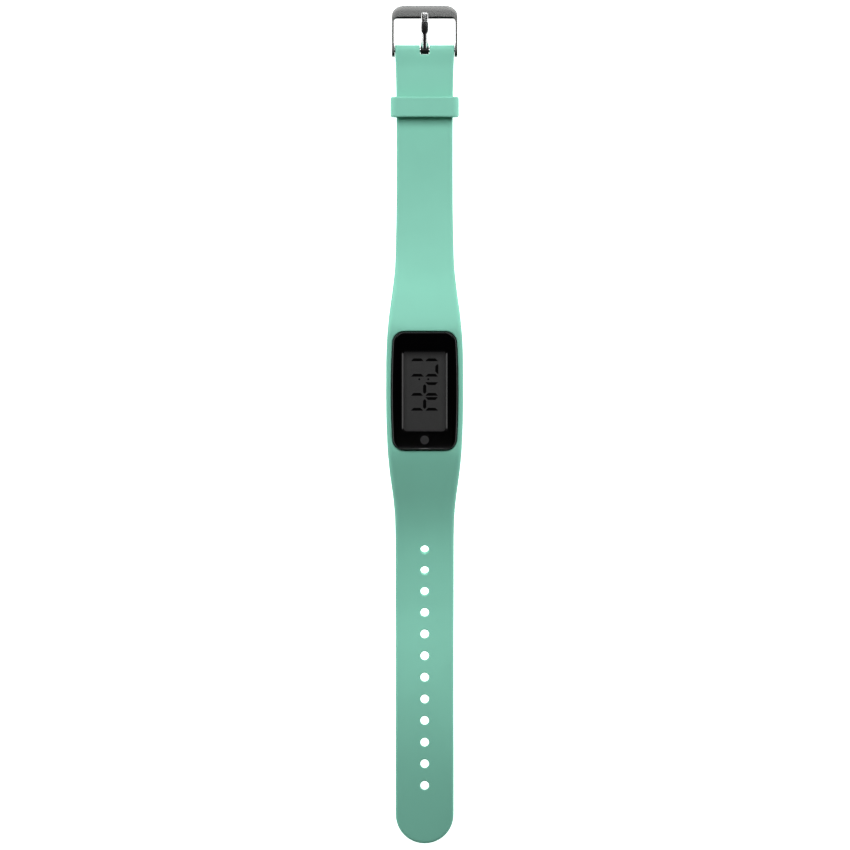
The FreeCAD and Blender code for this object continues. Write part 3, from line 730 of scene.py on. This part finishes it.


# ----------------------------------------------------------------------------
# the band, cut into lengths; the cradle, the buckle end and the tail tip go on their bodies, the lengths between stay
# where they are built
# ----------------------------------------------------------------------------
CL_BODY = ["cradle", "clasp_neck_a", "clasp_neck_b", "clasp_link_1", "clasp_link_2", "clasp_link_3", "clasp_end"]
TL_BODY = ["cradle", "tail_neck_a", "tail_neck_b", "tail_link_1", "tail_link_2", "tail_link_3", "tail_link_4",
           "tail_link_5", "tail_tip"]
face_y = [sum(band_v[i][1] for i in f) / len(f) for f in band_f]


def midz(y):
    return 0.5 * (top_z(y) + bot_z(y))


def ease(a, b):
    """The middle stretch of a length, from 12 to 88 per cent along it."""
    return a + (b - a) * 0.12, a + (b - a) * 0.88


def band_piece(name, y_lo, y_hi):
    fs = [f for f, y in zip(band_f, face_y) if y_lo < y < y_hi]
    ob = make_object(name, band_v, fs, band_n)
    paint(ob, M_SIL)
    return ob


core = band_piece("silicone_cradle", -TL_EDGE[0], CL_EDGE[0])
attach(core, "cradle")
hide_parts("band_cradle")
for k in range(6):
    ob = band_piece("silicone_clasp_%d" % (k + 1), CL_EDGE[k], CL_EDGE[k + 1])
    y0, y1 = ease(CL_EDGE[k], CL_EDGE[k + 1])
    to_m((0, y0, midz(y0)))
    to_m((0, y1, midz(y1)))
    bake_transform(ob)
    if k < 5:
        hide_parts(CL_BODY[k + 1])
end = band_piece("silicone_clasp_end", CL_EDGE[6], 200)
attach(end, "clasp_end")
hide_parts("clasp_end")
for k in range(8):
    ob = band_piece("silicone_tail_%d" % (k + 1), -TL_EDGE[k + 1], -TL_EDGE[k])
    y0, y1 = ease(-TL_EDGE[k], -TL_EDGE[k + 1])
    to_m((0, y0, midz(y0)))
    to_m((0, y1, midz(y1)))
    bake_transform(ob)
    if k < 7:
        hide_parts(TL_BODY[k + 1])
tip = band_piece("silicone_tail_tip", -400, -TL_EDGE[8])
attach(tip, "tail_tip")
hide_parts("tail_tip")


# ----------------------------------------------------------------------------
# swept section helper: stations x section points
# ----------------------------------------------------------------------------
def round_rect(u0, u1, v0, v1, ru, rv, n=4):
    """Closed list of (u, v) round a rounded rectangle; ru, rv per corner lists or numbers."""
    ru = [ru] * 4 if not isinstance(ru, (list, tuple)) else ru
    rv = [rv] * 4 if not isinstance(rv, (list, tuple)) else rv
    cs = [(u1, v1, 0), (u0, v1, 90), (u0, v0, 180), (u1, v0, 270)]
    out = []
    for k, (cu, cv, a0) in enumerate(cs):
        su = -1 if cu == u1 else 1
        sv = -1 if cv == v1 else 1
        ou, ov = cu + su * ru[k], cv + sv * rv[k]
        for q in range(n + 1):
            a = math.radians(a0 + 90.0 * q / n)
            out.append((ou + ru[k] * math.cos(a), ov + rv[k] * math.sin(a)))
    return out


def sweep(sections, closed, cap=True):
    """sections: list of lists of 3-D points (mm), all one length, each a closed ring."""
    verts, faces = [], []
    n = len(sections[0])
    for s in sections:
        verts += s
    m = len(sections)
    for i in range(m if closed else m - 1):
        i2 = (i + 1) % m
        for k in range(n):
            k2 = (k + 1) % n
            faces.append((i * n + k, i * n + k2, i2 * n + k2, i2 * n + k))
    if not closed and cap:
        faces.append(tuple(range(n))[::-1])
        faces.append(tuple((m - 1) * n + k for k in range(n)))
    return verts, faces


def oriented(verts, faces):
    vol = 0.0
    for f in faces:
        p0 = np.array(verts[f[0]])
        for i in range(1, len(f) - 1):
            vol += np.dot(p0, np.cross(verts[f[i]], verts[f[i + 1]]))
    return faces if vol > 0 else [f[::-1] for f in faces]


def solid(name, verts, faces, m, body, replaces=()):
    verts, faces = weld(verts, faces)
    faces = oriented(verts, faces)
    ob = make_object(name, verts, faces, vertex_normals(verts, faces))
    paint(ob, m)
    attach(ob, body)
    if replaces:
        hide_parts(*replaces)
    return ob


# keeper loop
def loop_xz(hx, z0, z1, r, nc=7, nx=10, nz=4):
    pts = []
    def arc(cx, cz, a0):
        for k in range(nc):
            a = math.radians(a0 + 90.0 * k / nc)
            pts.append((cx + r * math.cos(a), cz + r * math.sin(a)))
    arc(hx - r, z1 - r, 0)
    for k in range(nx):
        pts.append((hx - r - 2 * (hx - r) * k / nx, z1))
    arc(-hx + r, z1 - r, 90)
    for k in range(nz):
        pts.append((-hx, z1 - r - (z1 - z0 - 2 * r) * k / nz))
    arc(-hx + r, z0 + r, 180)
    for k in range(nx):
        pts.append((-hx + r + 2 * (hx - r) * k / nx, z0))
    arc(hx - r, z0 + r, 270)
    for k in range(nz):
        pts.append((hx, z0 + r + (z1 - z0 - 2 * r) * k / nz))
    return pts


K0, K1 = 85.2 - 6.05 / 2, 85.2 + 6.05 / 2
outer_l = loop_xz(10.27, 0.0, 6.8, 2.0)
inner_l = loop_xz(8.95, 1.2, 5.7, 0.9)
sec = []
for o, i in zip(outer_l, inner_l):
    th = math.hypot(o[0] - i[0], o[1] - i[1])
    ring = []
    for u, v in round_rect(0.0, 1.0, K0, K1, [0.5 / th, 0.25 / th, 0.25 / th, 0.5 / th], [0.5, 0.3, 0.3, 0.5], 4):
        ring.append((i[0] + (o[0] - i[0]) * u, v, i[1] + (o[1] - i[1]) * u))
    sec.append(ring)
v_, f_ = sweep(sec, True)
solid("keeper_loop", v_, f_, M_SIL, "keeper", ["strap_keeper"])

# buckle frame
BX, LT, BT, BI, LE = 9.85, 0.62, 115.65, 111.75, 100.2
RO, RI = 2.9, 0.9
ROX = 3.7                       # the outer corners are drawn out along the plate
LI = BX - LT
stations = []          # outer xy, inner xy, z low, z high, roundings


def leg_z(y):
    if y < LE + 1.3:
        h = math.sqrt(max(1.3 ** 2 - (LE + 1.3 - y) ** 2, 0.0))
        return 2.5 - h, 2.5 + h
    return 1.2, 3.8


ys = [LE + 1.3 * (1 - math.cos(math.radians(a))) for a in (0, 12, 25, 40, 55, 70, 90)]
half = []
EYE = 8.98                      # the legs thicken inward round the bar
for y in ys:
    half.append(((-BX, y), (-EYE, y), *leg_z(y), 0))
for k in range(1, 13):
    t = k / 12
    yo = ys[-1] + (BT - RO - ys[-1]) * t
    yi = ys[-1] + (BI - RI - ys[-1]) * t
    w = min(max((yi - 103.0) / 1.6, 0.0), 1.0)
    w = w * w * (3 - 2 * w)
    half.append(((-BX, yo), (-(EYE + (LI - EYE) * w), yi), 1.2, 3.8, 0))
for k in range(1, 9):
    a = math.radians(180 - 90 * k / 8)
    t = k / 8
    s = t * t * (3 - 2 * t)
    half.append(((-BX + ROX + ROX * math.cos(a), BT - RO + RO * math.sin(a)),
                 (-LI + RI + RI * math.cos(a), BI - RI + RI * math.sin(a)), 1.2 + 1.2 * s, 3.8, s))
for k in range(1, 6):
    t = k / 5
    half.append(((-(BX - ROX) * (1 - t), BT), (-(LI - RI) * (1 - t), BI), 2.4, 3.8, 1))
full = half + [((-o[0], o[1]), (-i[0], i[1]), a, b, s) for o, i, a, b, s in half[-2::-1]]
sec = []
for o, i, zl, zh, s in full:
    w = math.hypot(o[0] - i[0], o[1] - i[1])
    h = max(zh - zl, 1e-4)
    r = 0.16
    cw, cd = 0.12 + 0.46 * s, 0.10 + 0.20 * s       # the plate's inner edge has a wider chamfer
    cw, cd, r = min(cw, 0.4 * w), min(cd, 0.3 * h), min(r, 0.3 * w, 0.3 * h)
    prof = [(w - r, zh), (w - 0.3 * r, zh - 0.3 * r), (w, zh - r), (w, 0.5 * (zl + zh)), (w, zl + r), (w - r, zl), (0.5 * w, zl),
            (r, zl), (0.3 * r, zl + 0.3 * r), (0.0, zl + r), (0.0, zh - cd - 0.04), (0.03, zh - cd), (0.5 * cw, zh - 0.5 * cd),
            (cw - 0.02, zh - 0.02), (cw + 0.05, zh), (0.5 * (w + cw), zh)]
    ring = []
    for u, v in prof:
        u /= w
        ring.append((i[0] + (o[0] - i[0]) * u, i[1] + (o[1] - i[1]) * u, v))
    sec.append(ring)
v_, f_ = sweep(sec, False)
solid("buckle_frame_shell", v_, f_, M_SATIN, "buckle", ["buckle_frame"])

# prong: arched round-backed shank in one sweep, the hub ring in a second
PT = [(101.95, 3.55), (102.6, 3.80), (103.4, 4.00), (104.6, 4.27), (106.0, 4.55), (107.0, 4.72), (107.6, 4.81),
      (109.0, 4.97), (110.4, 5.04), (110.9, 5.05), (112.0, 5.06), (113.0, 5.06), (113.36, 5.06), (113.42, 5.05),
      (113.45, 4.99)]
PB = [(101.95, 2.95), (102.6, 2.90), (103.4, 2.95), (104.6, 3.05), (106.0, 3.28), (107.0, 3.45), (107.6, 3.56),
      (109.0, 3.76), (110.4, 3.86), (110.9, 3.87), (112.0, 3.87), (113.0, 3.88), (113.32, 3.92), (113.40, 4.05),
      (113.44, 4.25)]
HW = [1.22, 1.22, 1.22, 1.22, 1.22, 1.22, 1.22, 1.22, 1.22, 1.20, 1.14, 1.08, 1.00, 0.85, 0.55]
RIDGE = [1, 1, 1, 1, 1, 1, 0.1, 0.0, 0.1, 0.45, 0.1, 0, 0, 0, 0]      # 1: sharp back, 0: broad back
sec = []
for (t, b_), hw, rg in zip(zip(PT, PB), HW, RIDGE):
    ring = []
    m_ = 28
    ym, yb = (t[0] + b_[0]) / 2, (t[0] - b_[0]) / 2
    zm = b_[1] + (t[1] - b_[1]) * (0.5 - 0.40 * rg)
    for k in range(m_):
        a = 2 * math.pi * k / m_
        u, w = math.cos(a), math.sin(a)
        if w >= 0:
            # a narrow crown with straight flanks, or a plain half round
            x1 = 1.0 - 1.0 * (k / (m_ / 2)) * 2
            crown = 0.36
            ridge = 1 - max(0.0, (abs(x1) - crown) / (1 - crown)) if abs(x1) > crown else 1.0
            ridge = min(ridge, 1.0) - 0.05 * min(abs(x1) / crown, 1.0) ** 2
            x = hw * (rg * x1 + (1 - rg) * math.copysign(abs(u) ** 0.85, u))
            h = rg * max(ridge, 0.0) + (1 - rg) * abs(w) ** 0.9
            z = zm + (t[1] - zm) * min(h / 1.0, 1.0)
            y = ym + yb * h
        else:
            x = hw * math.copysign(abs(u) ** 0.85, u)
            z = zm - (zm - b_[1]) * abs(w) ** 0.45
            y = ym - yb * abs(w) ** 0.45
        ring.append((x, y, z))
    sec.append(ring)
v1, f1 = sweep(sec, False)
solid("buckle_tongue", v1, f1, M_POLISH, "prong", ["buckle_prong"])
# hub ring round the bar, in the near-black steel that paints the shade of the notch
sec = []
for k in range(28):
    a = 2 * math.pi * k / 28
    ring = []
    for u, v in round_rect(0.80, 1.25, -1.22, 1.22, 0.12, 0.18, 3):
        ring.append((v, BAR_Y + u * math.cos(a), BAR_Z + u * math.sin(a)))
    sec.append(ring)
v2, f2 = sweep(sec, True)
solid("tongue_eye", v2, f2, M_HUB_SHADE, "prong")

# ----------------------------------------------------------------------------
# display module front: one shell with the window bevel and the button opening
# ----------------------------------------------------------------------------
WX, WY, WR = 6.25, 12.0, 0.9
BTN_Y = -14.6
TOPZ = 20.2
NSD = 16          # cells down each long side between corner middles


def ring_pts(hx, hy, r, belly, xs):
    """Clockwise ring from the upper left corner point: half arc, end points at xs, half arc, side ..."""
    hs = hx - belly
    if belly > 1e-6:
        hh = hy - r
        rad = (hh * hh + belly * belly) / (2 * belly)
        sx = lambda y: hx - rad + math.sqrt(max(rad * rad - y * y, 0))
    else:
        sx = lambda y: hx
    def arc(cx, cy, a0, a1):
        return [(cx + r * math.cos(math.radians(a0 + (a1 - a0) * k / 4)), cy + r * math.sin(math.radians(a0 + (a1 - a0) * k / 4)))
                for k in range(4)]
    e = hs - r
    endx = [-e] + list(xs) + [e]
    ys = [(hy - r) * (1 - 2 * k / NSD) for k in range(NSD)]
    p = arc(-e, hy - r, 135, 90) + [(x, hy) for x in endx[:-1]] + arc(e, hy - r, 90, 45)
    p += arc(e, hy - r, 45, 0) + [(sx(y), y) for y in ys] + arc(e, -hy + r, 0, -45)
    p += arc(e, -hy + r, -45, -90) + [(-x, -hy) for x in endx[:-1]] + arc(-e, -hy + r, -90, -135)
    p += arc(-e, -hy + r, 225, 180) + [(-sx(y), -y) for y in ys] + arc(-e, hy - r, 180, 135)
    return p


def xs_for(e):
    """Seven fixed centre points for the button block, one more each side."""
    return [-(2.1 + e) / 2] + [-2.1, -1.4, -0.7, 0, 0.7, 1.4, 2.1] + [(2.1 + e) / 2]


fv, ff = [], []


def fadd(pts, z):
    base = len(fv)
    for p in pts:
        fv.append((p[0], p[1], z if len(p) == 2 else p[2]))
    return list(range(base, base + len(pts)))


def fstrip(a, b, skip=()):
    n = len(a)
    for k in range(n):
        if k in skip:
            continue
        k2 = (k + 1) % n
        ff.append((a[k], a[k2], b[k2], b[k]))


FIL = 1.25                      # rounding of the module's upper edge
ox = CAP_X - BELLY - CAP_R
rings = []
outer_xs = xs_for(ox)
rings.append(fadd(ring_pts(CAP_X, CAP_Y, CAP_R, BELLY, outer_xs), 13.5))
rings.append(fadd(ring_pts(CAP_X, CAP_Y, CAP_R, BELLY, outer_xs), 16.5))
rings.append(fadd(ring_pts(CAP_X, CAP_Y, CAP_R, BELLY, outer_xs), TOPZ - FIL * 0.85))
for q in (15, 30, 45, 60, 75, 90):
    a = math.radians(q)
    o = FIL * (1 - math.cos(a))
    rings.append(fadd(ring_pts(CAP_X - o, CAP_Y - o * 0.36, CAP_R - o * 0.9, BELLY, outer_xs), TOPZ - FIL * 0.85 * (1 - math.sin(a))))
edge_ring = rings[-1]
BVX, BVY = 0.60, 0.14           # bevel of the display opening: wide at the sides, fine at the ends
win_pts = ring_pts(WX + BVX, WY + BVY, WR + 0.35, 0.0, xs_for(WX + BVX - WR - 0.35))
edge_pts = [fv[i][:2] for i in edge_ring]
NR2 = 6
mids = []
for m_ in range(1, NR2):
    t = m_ / NR2
    mids.append(fadd([(a[0] * (1 - t) + b[0] * t, a[1] * (1 - t) + b[1] * t) for a, b in zip(edge_pts, win_pts)], TOPZ))
win_top = fadd(win_pts, TOPZ)
chain = [edge_ring] + mids + [win_top]
# index of the lower end's centre columns
end_n = 8 + len(xs_for(1)) + 1
low_start = 4 + (len(outer_xs) + 1) + 4 + 4 + NSD + 4 + 4
# points of the lower end run from +x to -x: [e, xs..., -e]
blk = [low_start + 2 + k for k in range(7)]       # the seven centre points, +2.1 to -2.1
for p, q in zip(rings[:-1], rings[1:]):
    fstrip(p, q)
for p, q in zip(chain[:-1], chain[1:]):
    fstrip(p, q, skip=set(blk[:-1]))
# button block perimeter, from outer right corner round
per = [chain[0][k] for k in blk]                                  # along the outer edge, right to left
per += [chain[m_][blk[-1]] for m_ in range(1, len(chain))]        # up the left side
per += [chain[-1][k] for k in reversed(blk[:-1])]                 # along the window, left to right
per += [chain[m_][blk[0]] for m_ in range(len(chain) - 2, 0, -1)]  # down the right side
npr = len(per)


def btn_ring(r, z, mix=0.0):
    pts = []
    for k, pid in enumerate(per):
        px, py = fv[pid][0], fv[pid][1]
        a = math.radians(-45 - 360.0 * k / npr)
        x, y = r * math.cos(a), BTN_Y + r * math.sin(a)
        pts.append((x * (1 - mix) + px * mix, y * (1 - mix) + py * mix))
    return fadd(pts, z)


br = [per, btn_ring(1.62, TOPZ, 0.45), btn_ring(1.46, TOPZ), btn_ring(1.39, TOPZ - 0.03), btn_ring(1.36, TOPZ - 0.10), btn_ring(1.36, TOPZ - 0.9)]
for p, q in zip(br[:-1], br[1:]):
    for k in range(npr):
        k2 = (k + 1) % npr
        ff.append((p[k], p[k2], q[k2], q[k]))
# window bevel and wall
inner_pts = ring_pts(WX, WY, WR, 0.0, xs_for(WX - WR))
def wmix(t, z):
    return fadd([(a[0] * (1 - t) + b[0] * t, a[1] * (1 - t) + b[1] * t) for a, b in zip(win_pts, inner_pts)], z)
wl = [win_top, wmix(0.08, TOPZ - 0.015), wmix(0.92, TOPZ - 0.485), wmix(1.0, TOPZ - 0.54), wmix(1.0, TOPZ - 1.2)]
for p, q in zip(wl[:-1], wl[1:]):
    fstrip(p, q)
# underside so the shell is closed: back up inside
in_lo = fadd(ring_pts(8.6, 16.85, 2.6, 0.0, xs_for(6.0)), 13.5)
in_hi = fadd(ring_pts(8.6, 16.85, 2.6, 0.0, xs_for(6.0)), 19.0)
ff2 = []
n = len(in_lo)
for a, b in ((in_lo, rings[0]), (in_hi, in_lo), (wl[-1], in_hi)):
    for k in range(n):
        k2 = (k + 1) % n
        ff.append((a[k], a[k2], b[k2], b[k]))


def smooth_object(name, verts, faces, m, body, replaces=()):
    verts, faces = weld(verts, faces)
    # winding: make every face agree with its neighbours, then outward
    import bmesh
    bm = bmesh.new()
    vs = [bm.verts.new(v) for v in verts]
    for f in faces:
        try:
            bm.faces.new([vs[i] for i in f])
        except ValueError:
            pass
    bmesh.ops.recalc_face_normals(bm, faces=bm.faces[:])
    bm.verts.index_update()
    fs = [tuple(v.index for v in f.verts) for f in bm.faces]
    vv = [tuple(v.co) for v in bm.verts]
    bm.free()
    ob = make_object(name, vv, fs, vertex_normals(vv, fs))
    paint(ob, m)
    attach(ob, body)
    if replaces:
        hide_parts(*replaces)
    return ob


smooth_object("module_face", fv, ff, M_BLACK, "module", ["front_cover"])

# ----------------------------------------------------------------------------
# CAD pieces that keep their shape
# ----------------------------------------------------------------------------
KEEP = {"display_window": M_CLEAR, "lcd_frame": M_BEZEL, "lcd_glass": M_LCD, "lcd_digits": M_SEG,
        "zebra_strips": M_RUBBER, "circuit_board": M_BOARD, "motion_sensor": M_CHIP, "processor_blob": M_CHIP,
        "crystal": M_CAN, "chip_capacitors": M_TAN, "tact_switch": M_SWITCH, "function_button": M_BUTTON,
        "coin_cell": M_CAN, "cell_contact_negative": M_BRASS, "cell_contact_positive": M_BRASS, "back_cover": M_BACK,
        "battery_door": M_BUTTON, "door_seal": M_RUBBER, "case_screws": M_BRIGHT, "case_gasket": M_RUBBER,
        "spring_bar_tube": M_BRIGHT, "spring_bar_tips": M_BRIGHT, "spring_bar_spring": M_BRIGHT}
for name, m in KEEP.items():
    paint(frame["nodes"][name], m)

# ----------------------------------------------------------------------------
# floor, light, camera
# ----------------------------------------------------------------------------
me = bpy.data.meshes.new("floor")
me.from_pydata([(-3, -3, -0.0002), (3, -3, -0.0002), (3, 3, -0.0002), (-3, 3, -0.0002)], [], [(0, 1, 2, 3)])
floor = bpy.data.objects.new("floor", me)
bpy.context.scene.collection.objects.link(floor)
fm, nt, b = new_mat("floor_white")
fn = noise(nt, coord(nt), 3.0, 2.0)
nt.links.new(ramp(nt, fn, [(0.3, (0.90, 0.90, 0.90)), (0.7, (0.92, 0.92, 0.92))]), b.inputs["Base Color"])
b.inputs["Roughness"].default_value = 0.9
b.inputs["Emission Color"].default_value = (1, 1, 1, 1)
b.inputs["Emission Strength"].default_value = 0.85
me.materials.append(fm)


def area(name, loc, target, sx, sy, power, color=(1, 1, 1)):
    l = bpy.data.lights.new(name, "AREA")
    l.shape = "RECTANGLE"
    l.size, l.size_y = sx, sy
    l.energy = power
    l.color = color
    o = bpy.data.objects.new(name, l)
    bpy.context.scene.collection.objects.link(o)
    o.location = loc
    d = Vector(target) - Vector(loc)
    o.rotation_euler = d.to_track_quat("-Z", "Y").to_euler()
    return o


area("key", (0.0, 0.35, 0.46), (0, 0.06, 0.0), 0.68, 0.38, 3.05)
grid = area("tail_box", (0.0, -0.056, 0.35), (0.0, -0.056, 0.0), 0.03, 0.03, 0.0025)
grid.data.spread = math.radians(17.5)
area("strip_left", (-0.42, 0.0, 0.045), (0, 0, 0.01), 0.9, 0.08, 0.7)
area("strip_right", (0.42, 0.0, 0.045), (0, 0, 0.01), 0.9, 0.08, 0.7)

w = bpy.data.worlds.new("studio") if bpy.context.scene.world is None else bpy.context.scene.world
bpy.context.scene.world = w
w.use_nodes = True
nt = w.node_tree
nt.nodes.clear()
outn = nt.nodes.new("ShaderNodeOutputWorld")
bg = nt.nodes.new("ShaderNodeBackground")
tc = nt.nodes.new("ShaderNodeTexCoord")
sp = nt.nodes.new("ShaderNodeSeparateXYZ")
nt.links.new(tc.outputs["Generated"], sp.inputs[0])
r = nt.nodes.new("ShaderNodeValToRGB")
el = r.color_ramp.elements
el[0].position, el[0].color = 0.0, (0.75, 0.75, 0.75, 1)
el[1].position, el[1].color = 1.0, (0.02, 0.02, 0.02, 1)
for p, c in ((0.70, 0.75), (0.90, 0.35), (0.975, 0.05)):
    k = el.new(p)
    k.color = (c, c, c, 1)
nt.links.new(sp.outputs["Z"], r.inputs["Fac"])
nt.links.new(r.outputs["Color"], bg.inputs["Color"])
bg.inputs["Strength"].default_value = 0.07
nt.links.new(bg.outputs[0], outn.inputs[0])

cam = bpy.data.cameras.new("camera")
cam.sensor_width = 36.0
DIST = 2.5
cam.lens = 36.0 * DIST / 0.2545
cam.clip_end = 20.0
co = bpy.data.objects.new("camera", cam)
bpy.context.scene.collection.objects.link(co)
co.location = (0.0001, 0.0000, 0.008 + DIST)
co.rotation_euler = (0, 0, 0)
bpy.context.scene.camera = co
bpy.context.scene.view_settings.view_transform = "Standard"
bpy.context.scene.view_settings.look = "Medium High Contrast"

bpy.context.view_layer.update()
